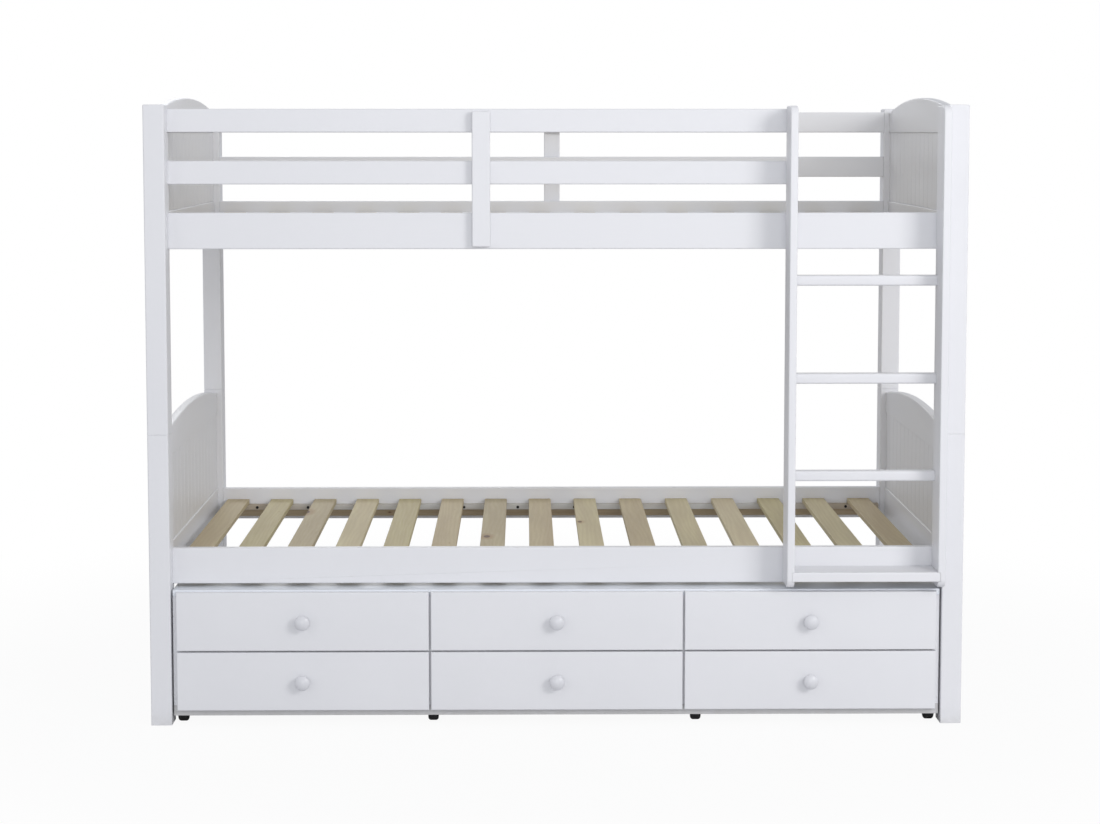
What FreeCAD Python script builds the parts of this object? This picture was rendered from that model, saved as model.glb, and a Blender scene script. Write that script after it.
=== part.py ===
import FreeCAD, Part
import math
import os

# A white bunk bed with a fixed upright ladder and a wheeled chest of six drawers under it.
# X runs along the bed, Y from the front to the back, Z up from the floor.
# The origin is the middle of the footprint, on the floor.  All sizes are in millimetres.

vector = FreeCAD.Vector
x_axis = vector(1, 0, 0)
y_axis = vector(0, 1, 0)
z_axis = vector(0, 0, 1)

# Frame
span_between_posts = 1922.0     # clear length between the two end frames
bed_depth = 1077.0              # front of the front posts to the back of the rear posts
post_width = 52.0               # a post's size along the bed
post_depth = 66.0               # a post's size across the bed
lower_post_height = 730.0
upper_post_height = 814.0
post_ease = 3.0                 # rounding of the posts' long edges
joint_ease = 1.0                # chamfer where the upper post stands on the lower one
rail_thickness = 22.0
rail_ease = 3.0                 # rounding of the rails' long edges
side_rail_height = 90.0
lower_rail_bottom = 350.0
upper_rail_bottom = 1188.0
guard_rail_height = 58.0
guard_drop = 10.0               # from the posts' top down to the top guard rail
guard_post_width = 45.0
guard_post_thickness = 20.0
guard_post_foot = 6.0           # how far its foot stands above the side rail's lower edge

# End frames
arch_thickness = 22.0
arch_depth_at_ends = 58.0       # height of the arched rail where it meets the posts
arch_shoulder = 10.0            # how far its ends stay below the post's top
arch_rise = 34.0                # from its ends to its crown
arch_ease = 4.0
panel_thickness = 16.0
panel_tongue = 8.0              # thickness of the tongue round the panel
tongue_length = 6.7
board_count = 15                # boards that the grooves mark on each panel
groove_width = 4.0
groove_depth = 2.0
tenon_thickness = 10.0
tenon_length = 25.0
arch_tenon_height = 16.0
arch_tenon_start = 8.0          # from the arched rail's lower edge to its tenon
end_tenon_height = 26.0

# Slats
slat_count = 15
slat_width = 64.0
slat_thickness = 14.0
slat_ease = 2.0
slat_sink = 32.0                # from the side rail's top down to the slats' top
slat_end_gap = 22.5             # from the end posts to the first slat, before it is shifted
slat_shift = -10.0              # the whole set lies this far off the middle
slat_drift = -26.0              # and its middle slats this much further
slat_clearance = 3.0            # from a slat's end to the side rail
cleat_depth = 20.0
cleat_height = 34.0
cleat_lip = 15.0                # height of its thicker upper part
cleat_rebate = 7.0              # how far the part below is set back
cleat_end_gap = 6.0

# Ladder
ladder_width = 393.0
ladder_depth = 92.0             # a stile's size across the bed
stile_thickness = 19.0
stile_bottom = 352.0
stile_top = 1541.0
stile_corner = 22.0             # rounding of a stile's front corners
stile_ease = 3.0
tread_top = 392.0
tread_thickness = 24.0
rung_count = 3
rung_pitch = 244.0
rung_height = 26.0
rung_depth = 28.0
rung_ease = 5.0
housing_depth = 6.0             # how far rungs and tread are let into the stiles

# Fastenings
bolt_diameter = 6.0
bolt_head_diameter = 12.0
bolt_head_height = 4.0
bolt_head_chamfer = 1.2
socket_across_flats = 4.0
socket_depth = 2.5
counterbore_diameter = 14.0
counterbore_depth = 8.0
nut_diameter = 10.0
nut_length = 16.0
nut_setback = 32.0              # from the rail's end to the barrel nut
bolt_overrun = 8.0              # how far a bolt passes its nut
low_bolt_height = 20.0          # bolts above the side rail's lower edge
high_bolt_height = 70.0
ladder_bolt_height = 55.0
guard_bolt_height = 72.0        # clear above the slats
cross_bolt_bite = 15.0          # how far a cross bolt enters a guard post or a stile
pin_diameter = 12.0
pin_length = 80.0
hole_clearance = 0.3            # round bolts, nuts and pins, on the radius
fit_clearance = 0.3             # between a tongue, tenon or housing and its piece

# Chest
chest_side_gap = 4.0            # from the chest to each post
chest_head_gap = 10.0           # from the chest to the side rail above it
chest_depth = 560.0
carcass_thickness = 16.0
chest_back_thickness = 6.0
chest_ease = 1.5
base_underside = 48.0
plinth_bottom = 22.0
mid_rail_depth = 48.0
front_proud = 6.0               # how far the drawer fronts stand before the posts
front_thickness = 16.0
front_height = 147.0
front_gap_across = 5.0
front_gap_up = 4.0
front_edge_gap = 10.0           # carcass edge left bare at each end
lowest_front = 38.0
front_ease = 2.5
body_gap = 0.5                  # between a drawer front and the carcass

# Drawers
drawer_columns = 3
box_length = 480.0
box_height = 100.0
box_wall = 12.0
box_side_gap = 6.0              # from the drawer box to the carcass, each side
lower_box_lift = 6.0            # from the base to the lower drawer boxes
upper_box_lift = 136.0          # and to the upper ones
bottom_thickness = 4.0
bottom_height = 8.0             # from the box's lower edge to its bottom panel
bottom_bite = 5.5
runner_height = 12.0
runner_bite = 5.0               # how far the runner enters the drawer side
runner_length = 470.0
runner_setback = 24.0
runner_slot_height = 44.0       # from the box's lower edge to its runner slot
slot_setback = 20.0
running_gap = 0.3
knob_diameter = 38.0
knob_reach = 28.0
knob_foot_radius = 9.0
knob_neck_radius = 6.5
knob_dome_height = 7.5
knob_rim_round = 3.0

# Castors
castor_places = (-938.0, -310.0, 350.0, 938.0)
front_castor_setback = 38.0     # from the carcass front to the front axles
rear_castor_setback = 57.5      # from the carcass back to the rear axles
wheel_radius = 20.0
wheel_width = 26.0
wheel_tread_round = 7.0
axle_diameter = 6.0
axle_gap = 0.05
fork_plate_thickness = 2.0
fork_gap = 1.5
fork_reach = 20.0               # length of the fork's plate to each side of the axle

# Places that follow from the sizes above
ladder_proud = ladder_depth - (post_depth - rail_thickness)
front_y = ladder_proud - (bed_depth + ladder_proud) / 2
back_y = front_y + bed_depth
half_span = span_between_posts / 2
post_middle_x = half_span + post_width / 2
post_top = lower_post_height + upper_post_height
inner_front_y = front_y + post_depth
inner_back_y = back_y - post_depth
rail_front_y = inner_front_y - rail_thickness
rail_back_y = inner_back_y + rail_thickness
rail_bolt_y = (inner_front_y - rail_thickness / 2, inner_back_y + rail_thickness / 2)
upper_rail_top = upper_rail_bottom + side_rail_height
top_guard_top = post_top - guard_drop
top_guard_bottom = top_guard_top - guard_rail_height
guard_gap = (top_guard_bottom - upper_rail_top - guard_rail_height) / 2
middle_guard_bottom = upper_rail_top + guard_gap
guard_post_bottom = upper_rail_bottom + guard_post_foot
guard_post_top = top_guard_top - guard_post_foot
ladder_right = half_span
ladder_left = ladder_right - ladder_width
guard_right = ladder_left + stile_thickness
stile_xs = (ladder_left, ladder_right - stile_thickness)
stile_front_y = rail_front_y - ladder_depth
front_guard_post_x = (guard_right - half_span) / 2
carcass_front_y = front_y - front_proud + front_thickness + body_gap
carcass_back_y = carcass_front_y + chest_depth
chest_half = half_span - chest_side_gap
chest_top_z = lower_rail_bottom - chest_head_gap
base_top = base_underside + carcass_thickness
carcass_top = chest_top_z - carcass_thickness
front_width = (2 * (chest_half - front_edge_gap)
               - (drawer_columns - 1) * front_gap_across) / drawer_columns
drawer_pitch = front_width + front_gap_across
front_back_y = carcass_front_y - body_gap
box_back_y = front_back_y + box_length
wheel_axle_z = wheel_radius
cross_bolt_shank = rail_thickness + cross_bolt_bite
castor_ys = (carcass_front_y + front_castor_setback, carcass_back_y - rear_castor_setback)


def block(x0, x1, y0, y1, z0, z1):
    return Part.makeBox(x1 - x0, y1 - y0, z1 - z0, vector(x0, y0, z0))


def rod(radius, start, direction, length):
    return Part.makeCylinder(radius, length, start, direction)


def runs_along(edge, axis):
    if edge.Curve.TypeId != "Part::GeomLine":
        return False
    return abs(edge.tangentAt(edge.FirstParameter).dot(axis)) > 0.999


def eased(solid, radius, axis):
    edges = [edge for edge in solid.Edges if runs_along(edge, axis)]
    return solid.makeFillet(radius, edges)


def board(x0, x1, y0, y1, z0, z1, radius, axis):
    return eased(block(x0, x1, y0, y1, z0, z1), radius, axis)


def extruded(points, direction):
    outline = Part.makePolygon([vector(*point) for point in points + points[:1]])
    return Part.Face(outline).extrude(direction)


def mirrored_in_x(shape):
    return shape.mirror(vector(0, 0, 0), x_axis)


def save(name, solids):
    shape = solids[0] if len(solids) == 1 else Part.makeCompound(solids)
    shape.exportStep(os.path.join("parts", name + ".step"))


# Fastenings: a bolt with a chamfered head and a hexagon socket, and its barrel nut.

def bolt(seat, direction, length):
    head = rod(bolt_head_diameter / 2, vector(0, 0, -bolt_head_height), z_axis, bolt_head_height)
    crown = [edge for edge in head.Edges if edge.Closed and edge.BoundBox.ZMax < -0.01]
    head = head.makeChamfer(bolt_head_chamfer, crown)
    corner = socket_across_flats / math.sqrt(3)
    points = []
    for step in range(6):
        angle = math.radians(60 * step)
        points.append((corner * math.cos(angle), corner * math.sin(angle), -bolt_head_height - 1))
    socket = extruded(points, vector(0, 0, socket_depth + 1))
    shank = rod(bolt_diameter / 2, vector(0, 0, 0), z_axis, length)
    solid = head.fuse(shank).cut(socket)
    solid.Placement = FreeCAD.Placement(seat, FreeCAD.Rotation(z_axis, direction))
    return solid


def barrel_nut(x, y, z):
    start = vector(x, y - nut_length / 2, z)
    nut = rod(nut_diameter / 2, start, y_axis, nut_length)
    thread = rod(bolt_diameter / 2 + hole_clearance, vector(x - nut_diameter, y, z), x_axis, 2 * nut_diameter)
    return nut.cut(thread)


def end_bolt_places():
    # One entry for each bolt that goes through a post into a rail's end: side, y, z.
    places = []
    for side in (-1, 1):
        for y in rail_bolt_y:
            for bottom in (lower_rail_bottom, upper_rail_bottom):
                places.append((side, y, bottom + low_bolt_height))
                places.append((side, y, bottom + high_bolt_height))
            for bottom in (middle_guard_bottom, top_guard_bottom):
                held_by_ladder = side == 1 and y < 0
                if not held_by_ladder:
                    places.append((side, y, bottom + guard_rail_height / 2))
    return places


def cross_bolt_places():
    # The seat of each bolt that runs forwards through a rail or the rear guard post: x, y, z.
    places = []
    for x in stile_xs:
        for bottom in (lower_rail_bottom, upper_rail_bottom):
            places.append((x + stile_thickness / 2, inner_front_y, bottom + ladder_bolt_height))
    for bottom in (middle_guard_bottom, top_guard_bottom):
        places.append((ladder_left + stile_thickness / 2, inner_front_y, bottom + guard_rail_height / 2))
    for x, y in ((front_guard_post_x, inner_front_y), (0.0, rail_back_y + guard_post_thickness)):
        places.append((x, y, upper_rail_bottom + guard_bolt_height))
        places.append((x, y, middle_guard_bottom + guard_rail_height / 2))
        places.append((x, y, top_guard_bottom + guard_rail_height / 2))
    return places


def end_bolt_shank():
    return post_width - counterbore_depth + nut_setback + bolt_overrun


def fastening_holes():
    # Everything that the bolts and nuts need cleared; every barrel nut goes in from behind its rail.
    tools = []
    for side, y, z in end_bolt_places():
        outward = vector(side, 0, 0)
        outer_face = side * (half_span + post_width)
        reach = post_width + nut_setback + bolt_overrun + fit_clearance
        shank = rod(bolt_diameter / 2 + hole_clearance, vector(outer_face, y, z), -outward, reach)
        seat = rod(counterbore_diameter / 2, vector(outer_face, y, z), -outward, counterbore_depth)
        nut_x = side * (half_span - nut_setback)
        near = y - nut_length / 2 - fit_clearance
        open_length = nut_length + rail_thickness + cleat_depth
        nut = rod(nut_diameter / 2 + hole_clearance, vector(nut_x, near, z), y_axis, open_length)
        tools += [shank, seat, nut]
    for place in cross_bolt_places():
        reach = cross_bolt_shank + fit_clearance
        tools.append(rod(bolt_diameter / 2 + hole_clearance, vector(*place), -y_axis, reach))
    return tools


def cut_where_near(solid, tools):
    box = solid.BoundBox
    near = [tool for tool in tools if box.intersect(tool.BoundBox)]
    return solid.cut(near) if near else solid


def bed_bolts():
    solids = []
    for side, y, z in end_bolt_places():
        seat = vector(side * (half_span + post_width - counterbore_depth), y, z)
        solids.append(bolt(seat, vector(-side, 0, 0), end_bolt_shank()))
    for place in cross_bolt_places():
        solids.append(bolt(vector(*place), -y_axis, cross_bolt_shank))
    return solids


def barrel_nuts():
    return [barrel_nut(side * (half_span - nut_setback), y, z) for side, y, z in end_bolt_places()]


# End frames: two posts each, an arched rail, a grooved panel and a straight rail.

def arch_bottom(post_top_z):
    return post_top_z - arch_shoulder - arch_depth_at_ends


def post_sockets(post_top_z, rail_bottom):
    # The mortises and grooves that one end frame needs in its posts, at x = post_middle_x.
    low = arch_bottom(post_top_z)
    rail_top = rail_bottom + side_rail_height
    half = tenon_thickness / 2 + fit_clearance
    reach = tenon_length + fit_clearance
    y0 = inner_front_y - reach
    y1 = inner_back_y + reach
    arch_z = low + arch_tenon_start
    end_z = rail_bottom + (side_rail_height - end_tenon_height) / 2
    sockets = []
    for z, height in ((arch_z, arch_tenon_height), (end_z, end_tenon_height)):
        sockets.append(block(post_middle_x - half, post_middle_x + half, y0, y1,
                             z - fit_clearance, z + height + fit_clearance))
    half = panel_tongue / 2 + fit_clearance
    depth = tongue_length + fit_clearance
    sockets.append(block(post_middle_x - half, post_middle_x + half, inner_front_y - depth,
                         inner_back_y + depth, rail_top - depth, low + depth))
    return sockets


def post(y0, z0, z1, rounded_top, sockets):
    solid = block(half_span, half_span + post_width, y0, y0 + post_depth, z0, z1)
    top_z = z1 if rounded_top else z0 - 1
    edges = []
    for edge in solid.Edges:
        upright = runs_along(edge, z_axis)
        on_top = abs(edge.BoundBox.ZMin - top_z) < 0.01 and edge.BoundBox.ZLength < 0.01
        if upright or on_top:
            edges.append(edge)
    solid = solid.makeFillet(post_ease, edges)
    joint = [edge for edge in solid.Edges if edge.BoundBox.ZLength < 0.01
             and abs(edge.BoundBox.ZMin - lower_post_height) < 0.01]
    solid = solid.makeChamfer(joint_ease, joint)
    pin_radius = pin_diameter / 2 + hole_clearance
    pin_start = vector(post_middle_x, y0 + post_depth / 2, lower_post_height - pin_length / 2 - fit_clearance)
    pin_hole = rod(pin_radius, pin_start, z_axis, pin_length + 2 * fit_clearance)
    return solid.cut(sockets + [pin_hole])


def post_pins():
    solids = []
    for x in (-post_middle_x, post_middle_x):
        for y in (front_y + post_depth / 2, back_y - post_depth / 2):
            start = vector(x, y, lower_post_height - pin_length / 2)
            pin = rod(pin_diameter / 2, start, z_axis, pin_length)
            solids.append(pin.makeChamfer(1.0, [edge for edge in pin.Edges if edge.Closed]))
    return solids


def arched_rail(post_top_z):
    low = arch_bottom(post_top_z)
    high = post_top_z - arch_shoulder
    x = post_middle_x - arch_thickness / 2
    left_low = vector(x, inner_front_y, low)
    left_high = vector(x, inner_front_y, high)
    right_low = vector(x, inner_back_y, low)
    right_high = vector(x, inner_back_y, high)
    crown = vector(x, (inner_front_y + inner_back_y) / 2, high + arch_rise)
    edges = [Part.makeLine(left_low, left_high),
             Part.Arc(left_high, crown, right_high).toShape(),
             Part.makeLine(right_high, right_low),
             Part.makeLine(right_low, left_low)]
    solid = Part.Face(Part.Wire(edges)).extrude(vector(arch_thickness, 0, 0))
    curved = [edge for edge in solid.Edges if edge.Curve.TypeId == "Part::GeomCircle"]
    solid = solid.makeFillet(arch_ease, curved)
    groove_half = panel_tongue / 2 + fit_clearance
    groove = block(post_middle_x - groove_half, post_middle_x + groove_half, inner_front_y - 1,
                   inner_back_y + 1, low - 1, low + tongue_length + fit_clearance)
    z = low + arch_tenon_start
    return solid.cut(groove).fuse(tenons(z, arch_tenon_height))


def tenons(z, height):
    half = tenon_thickness / 2
    front = block(post_middle_x - half, post_middle_x + half, inner_front_y - tenon_length,
                  inner_front_y + 1, z, z + height)
    back = block(post_middle_x - half, post_middle_x + half, inner_back_y - 1,
                 inner_back_y + tenon_length, z, z + height)
    return [front, back]


def end_rail(bottom):
    half = arch_thickness / 2
    top = bottom + side_rail_height
    solid = board(post_middle_x - half, post_middle_x + half, inner_front_y, inner_back_y,
                  bottom, top, rail_ease, y_axis)
    groove_half = panel_tongue / 2 + fit_clearance
    groove = block(post_middle_x - groove_half, post_middle_x + groove_half, inner_front_y - 1,
                   inner_back_y + 1, top - tongue_length - fit_clearance, top + 1)
    z = bottom + (side_rail_height - end_tenon_height) / 2
    return solid.cut(groove).fuse(tenons(z, end_tenon_height))


def grooved_panel(rail_bottom, post_top_z):
    # The section across the boards, with a V groove between each two, drawn out upwards.
    half = panel_thickness / 2
    y0 = inner_front_y + fit_clearance
    y1 = inner_back_y - fit_clearance
    z0 = rail_bottom + side_rail_height + fit_clearance
    z1 = arch_bottom(post_top_z) - fit_clearance
    pitch = (inner_back_y - inner_front_y) / board_count
    inner_side = [(post_middle_x - half, y0, z0)]
    outer_side = [(post_middle_x + half, y0, z0)]
    for step in range(1, board_count):
        y = inner_front_y + pitch * step
        for offset, depth in ((-groove_width / 2, 0), (0, groove_depth), (groove_width / 2, 0)):
            inner_side.append((post_middle_x - half + depth, y + offset, z0))
            outer_side.append((post_middle_x + half - depth, y + offset, z0))
    inner_side.append((post_middle_x - half, y1, z0))
    outer_side.append((post_middle_x + half, y1, z0))
    boards = extruded(inner_side + outer_side[::-1], vector(0, 0, z1 - z0))
    core_half = panel_tongue / 2
    core = block(post_middle_x - core_half, post_middle_x + core_half,
                 inner_front_y - tongue_length, inner_back_y + tongue_length,
                 z0 - fit_clearance - tongue_length, z1 + fit_clearance + tongue_length)
    return boards.fuse(core)


def make_end_frames(holes):
    levels = (("lower", 0.0, lower_post_height, lower_rail_bottom),
              ("upper", lower_post_height, post_top, upper_rail_bottom))
    for level, z0, z1, rail_bottom in levels:
        sockets = post_sockets(z1, rail_bottom)
        straight = end_rail(rail_bottom)
        arch = arched_rail(z1)
        panel = grooved_panel(rail_bottom, z1)
        rails = [mirrored_in_x(straight), straight]
        save("end_rails_" + level, rails)
        for place, y0 in (("front", front_y), ("rear", back_y - post_depth)):
            right = post(y0, z0, z1, level == "upper", sockets)
            left = mirrored_in_x(right)
            save("post_%s_%s_left" % (level, place), [cut_where_near(left, holes)])
            save("post_%s_%s_right" % (level, place), [cut_where_near(right, holes)])
        for side, turn in (("left", mirrored_in_x), ("right", None)):
            save("arch_rail_%s_%s" % (level, side), [turn(arch) if turn else arch])
            save("grooved_panel_%s_%s" % (level, side), [turn(panel) if turn else panel])


# Side rails, guard rails and the two short guard posts.

def make_rails(holes):
    rows = (("front", rail_front_y, inner_front_y), ("rear", inner_back_y, rail_back_y))
    for place, y0, y1 in rows:
        for level, bottom in (("lower", lower_rail_bottom), ("upper", upper_rail_bottom)):
            rail = board(-half_span, half_span, y0, y1, bottom, bottom + side_rail_height,
                         rail_ease, x_axis)
            save("side_rail_%s_%s" % (level, place), [cut_where_near(rail, holes)])
        right = guard_right if place == "front" else half_span
        for level, bottom in (("middle", middle_guard_bottom), ("top", top_guard_bottom)):
            rail = board(-half_span, right, y0, y1, bottom, bottom + guard_rail_height,
                         rail_ease, x_axis)
            save("guard_rail_%s_%s" % (place, level), [cut_where_near(rail, holes)])


def make_guard_posts(holes):
    half = guard_post_width / 2
    rows = (("front", front_guard_post_x, rail_front_y - guard_post_thickness, rail_front_y),
            ("rear", 0.0, rail_back_y, rail_back_y + guard_post_thickness))
    for place, x, y0, y1 in rows:
        solid = block(x - half, x + half, y0, y1, guard_post_bottom, guard_post_top)
        solid = solid.makeFillet(rail_ease, solid.Edges)
        save("guard_post_" + place, [cut_where_near(solid, holes)])


# Slats on their cleats.

def slat_centre(index):
    pitch = (span_between_posts - 2 * slat_end_gap - slat_width) / (slat_count - 1)
    even = -half_span + slat_end_gap + slat_width / 2 + pitch * index
    lean = math.sin(math.pi * index / (slat_count - 1)) ** 2
    return even + slat_shift + slat_drift * lean


def slats(rail_bottom):
    top = rail_bottom + side_rail_height - slat_sink
    solids = []
    for index in range(slat_count):
        x = slat_centre(index)
        solids.append(board(x - slat_width / 2, x + slat_width / 2, inner_front_y + slat_clearance,
                            inner_back_y - slat_clearance, top - slat_thickness, top, slat_ease, y_axis))
    return solids


def cleats(holes):
    # Each cleat's section is rebated below, so that its upper part stands out under the slats.
    solids = []
    x = -half_span + cleat_end_gap
    length = span_between_posts - 2 * cleat_end_gap
    for rail_bottom in (lower_rail_bottom, upper_rail_bottom):
        top = rail_bottom + side_rail_height - slat_sink - slat_thickness
        low = top - cleat_height
        step = top - cleat_lip
        for wall, inward in ((inner_front_y, 1), (inner_back_y, -1)):
            front = wall + inward * cleat_depth
            set_back = front - inward * cleat_rebate
            section = [(x, wall, low), (x, set_back, low), (x, set_back, step),
                       (x, front, step), (x, front, top), (x, wall, top)]
            strip = extruded(section, vector(length, 0, 0))
            solids.append(cut_where_near(strip, holes))
    return solids


# Ladder: two deep stiles, three rungs and a bottom tread that reaches back to the side rail.

def rung_places():
    # Top of each rung, from the lowest one up.
    return [tread_top + rung_pitch * (step + 1) for step in range(rung_count)]


def rung_bars(inset, grow):
    # The rungs' solids, let into the stiles by inset and thicker all round by grow.
    solids = []
    back = rail_front_y - running_gap
    for top in rung_places():
        solids.append(board(ladder_left + stile_thickness - inset, ladder_right - stile_thickness + inset,
                            back - rung_depth - grow, back + grow, top - rung_height - grow, top + grow,
                            rung_ease + grow, x_axis))
    return solids


def tread_board(inset, grow):
    return board(ladder_left + stile_thickness - inset, ladder_right - stile_thickness + inset,
                 stile_front_y - grow, rail_front_y + grow, tread_top - tread_thickness - grow,
                 tread_top + grow, stile_ease + grow, x_axis)


def stile(x0, pockets, holes):
    solid = block(x0, x0 + stile_thickness, stile_front_y, rail_front_y, stile_bottom, stile_top)
    corners = []
    for edge in solid.Edges:
        if runs_along(edge, x_axis) and abs(edge.BoundBox.YMin - stile_front_y) < 0.01:
            corners.append(edge)
    solid = solid.makeFillet(stile_corner, corners)
    outline = [edge for edge in solid.Edges if not runs_along(edge, x_axis)
               and edge.BoundBox.YMin < rail_front_y - 0.01]
    solid = solid.makeFillet(stile_ease, outline)
    return cut_where_near(solid.cut(pockets), holes)


def make_ladder(holes):
    inset = housing_depth + fit_clearance
    pockets = rung_bars(inset, fit_clearance) + [tread_board(inset, fit_clearance)]
    save("ladder_stile_left", [stile(stile_xs[0], pockets, holes)])
    save("ladder_stile_right", [stile(stile_xs[1], pockets, holes)])
    save("ladder_rungs", rung_bars(housing_depth, 0.0))
    save("ladder_tread", [tread_board(housing_depth, 0.0)])


# Chest carcass: boards 16 thick on a plinth, with eight castors.

def divider_middles():
    first = -drawer_pitch * (drawer_columns - 1) / 2
    return [first + drawer_pitch * (step + 0.5) for step in range(drawer_columns - 1)]


def bays():
    # Inner left and right face of each bay between the chest's uprights.
    half = carcass_thickness / 2
    lefts = [-chest_half + carcass_thickness] + [x + half for x in divider_middles()]
    rights = [x - half for x in divider_middles()] + [chest_half - carcass_thickness]
    return list(zip(lefts, rights))


def box_bottoms():
    return (base_top + lower_box_lift, base_top + upper_box_lift)


def front_bottoms():
    return (lowest_front, lowest_front + front_height + front_gap_up)


def upright(x, thickness_side, y1):
    return block(x, x + thickness_side, carcass_front_y, y1, base_top, carcass_top)


def make_carcass():
    inner_back = carcass_back_y - chest_back_thickness
    save("chest_top", [board(-chest_half, chest_half, carcass_front_y, carcass_back_y, carcass_top,
                             chest_top_z, chest_ease, x_axis)])
    save("chest_base", [board(-chest_half, chest_half, carcass_front_y, carcass_back_y, base_underside,
                              base_top, chest_ease, x_axis)])
    save("chest_sides", [upright(-chest_half, carcass_thickness, carcass_back_y),
                         upright(chest_half - carcass_thickness, carcass_thickness, carcass_back_y)])
    save("chest_dividers", [upright(x - carcass_thickness / 2, carcass_thickness, inner_back)
                            for x in divider_middles()])
    side_x = chest_half - carcass_thickness
    save("chest_back", [block(-side_x, side_x, inner_back, carcass_back_y, base_top, carcass_top)])
    rails = []
    for y in (carcass_front_y, carcass_back_y - carcass_thickness):
        rails.append(board(-chest_half, chest_half, y, y + carcass_thickness, plinth_bottom,
                           base_underside, chest_ease, x_axis))
    front_middle = front_bottoms()[1] - front_gap_up / 2
    for left, right in bays():
        rails.append(block(left, right, carcass_front_y, carcass_front_y + mid_rail_depth,
                           front_middle - carcass_thickness / 2, front_middle + carcass_thickness / 2))
    save("chest_rails", rails)


def runner_strips():
    solids = []
    y0 = front_back_y + runner_setback
    width = box_side_gap + runner_bite
    for bottom in box_bottoms():
        top = bottom + runner_slot_height + runner_height
        for left, right in bays():
            for x in (left, right - width):
                solids.append(block(x, x + width, y0, y0 + runner_length, top - runner_height, top))
    return solids


def drawer_box(left, right, bottom):
    x0 = left + box_side_gap
    x1 = right - box_side_gap
    top = bottom + box_height
    y0 = front_back_y
    panel_z = bottom + bottom_height
    panel = block(x0 + box_wall - bottom_bite, x1 - box_wall + bottom_bite,
                  y0 + box_wall - bottom_bite, box_back_y - box_wall + bottom_bite,
                  panel_z, panel_z + bottom_thickness)
    clear = fit_clearance
    panel_slot = block(x0 + box_wall - bottom_bite - clear, x1 - box_wall + bottom_bite + clear,
                       y0 + box_wall - bottom_bite - clear, box_back_y - box_wall + bottom_bite + clear,
                       panel_z - clear, panel_z + bottom_thickness + clear)
    slot_z = bottom + runner_slot_height - running_gap
    slot_top = bottom + runner_slot_height + runner_height + running_gap
    depth = runner_bite + running_gap
    slots = [block(x0 - 1, x0 + depth, y0 + slot_setback, box_back_y + 1, slot_z, slot_top),
             block(x1 - depth, x1 + 1, y0 + slot_setback, box_back_y + 1, slot_z, slot_top)]
    walls = [block(x0, x0 + box_wall, y0, box_back_y, bottom, top),
             block(x1 - box_wall, x1, y0, box_back_y, bottom, top),
             block(x0 + box_wall, x1 - box_wall, y0, y0 + box_wall, bottom, top),
             block(x0 + box_wall, x1 - box_wall, box_back_y - box_wall, box_back_y, bottom, top)]
    return [wall.cut(slots + [panel_slot]) for wall in walls] + [panel]


def knob(x, z):
    # A turned knob: foot, waist and a domed head, as one profile spun round its axis.
    face_y = front_y - front_proud
    head_radius = knob_diameter / 2
    waist_y = face_y - knob_reach * 0.3
    rim_y = face_y - knob_reach + knob_dome_height
    tip_y = face_y - knob_reach
    dome_radius = (head_radius ** 2 + knob_dome_height ** 2) / (2 * knob_dome_height)
    dome_angle = math.asin(head_radius / dome_radius) / 2
    foot = vector(knob_foot_radius, face_y, 0)
    waist = vector(knob_neck_radius, waist_y, 0)
    rim = vector(head_radius, rim_y, 0)
    tip = vector(0, tip_y, 0)
    hollow_middle = vector(knob_neck_radius + 0.6, (face_y + waist_y) / 2, 0)
    flare_middle = vector((knob_neck_radius + head_radius) / 2 + 2.5, (waist_y + rim_y) / 2 + 1.5, 0)
    dome_middle = vector(dome_radius * math.sin(dome_angle),
                         tip_y + dome_radius * (1 - math.cos(dome_angle)), 0)
    centre = vector(0, face_y, 0)
    profile = Part.Wire([Part.makeLine(centre, foot),
                         Part.Arc(foot, hollow_middle, waist).toShape(),
                         Part.Arc(waist, flare_middle, rim).toShape(),
                         Part.Arc(rim, dome_middle, tip).toShape(),
                         Part.makeLine(tip, centre)])
    solid = Part.Face(profile).revolve(vector(0, 0, 0), y_axis, 360)
    rim_edges = [edge for edge in solid.Edges if edge.Closed and abs(edge.BoundBox.YMin - rim_y) < 0.01]
    solid = solid.makeFillet(knob_rim_round, rim_edges)
    solid.translate(vector(x, 0, z))
    return solid


def make_drawers():
    number = 1
    for row in (1, 0):
        for column, (left, right) in enumerate(bays()):
            x = drawer_pitch * (column - (drawer_columns - 1) / 2)
            z = front_bottoms()[row]
            panel = block(x - front_width / 2, x + front_width / 2, front_back_y - front_thickness,
                          front_back_y, z, z + front_height)
            face_edges = [edge for edge in panel.Edges if edge.BoundBox.YMax < front_back_y - 0.01]
            panel = panel.makeFillet(front_ease, face_edges)
            save("drawer_front_%d" % number, [panel, knob(x, z + front_height / 2)])
            save("drawer_box_%d" % number, drawer_box(left, right, box_bottoms()[row]))
            number += 1


# Castors: a pressed fork with its axle under the base, and a round-treaded wheel.

def castor_fork(x, y):
    half = wheel_width / 2 + fork_gap
    outer = half + fork_plate_thickness
    plate = block(x - outer, x + outer, y - fork_reach, y + fork_reach,
                  base_underside - fork_plate_thickness, base_underside)
    parts = []
    for x0 in (x - outer, x + half):
        low = wheel_axle_z - axle_diameter
        points = [(x0, y - wheel_radius * 0.8, base_underside - fork_plate_thickness),
                  (x0, y - axle_diameter, low), (x0, y + axle_diameter, low),
                  (x0, y + wheel_radius * 0.8, base_underside - fork_plate_thickness)]
        parts.append(extruded(points, vector(fork_plate_thickness, 0, 0)))
    axle = rod(axle_diameter / 2, vector(x - outer - 1, y, wheel_axle_z), x_axis, 2 * outer + 2)
    return plate.fuse(parts + [axle])


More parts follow.
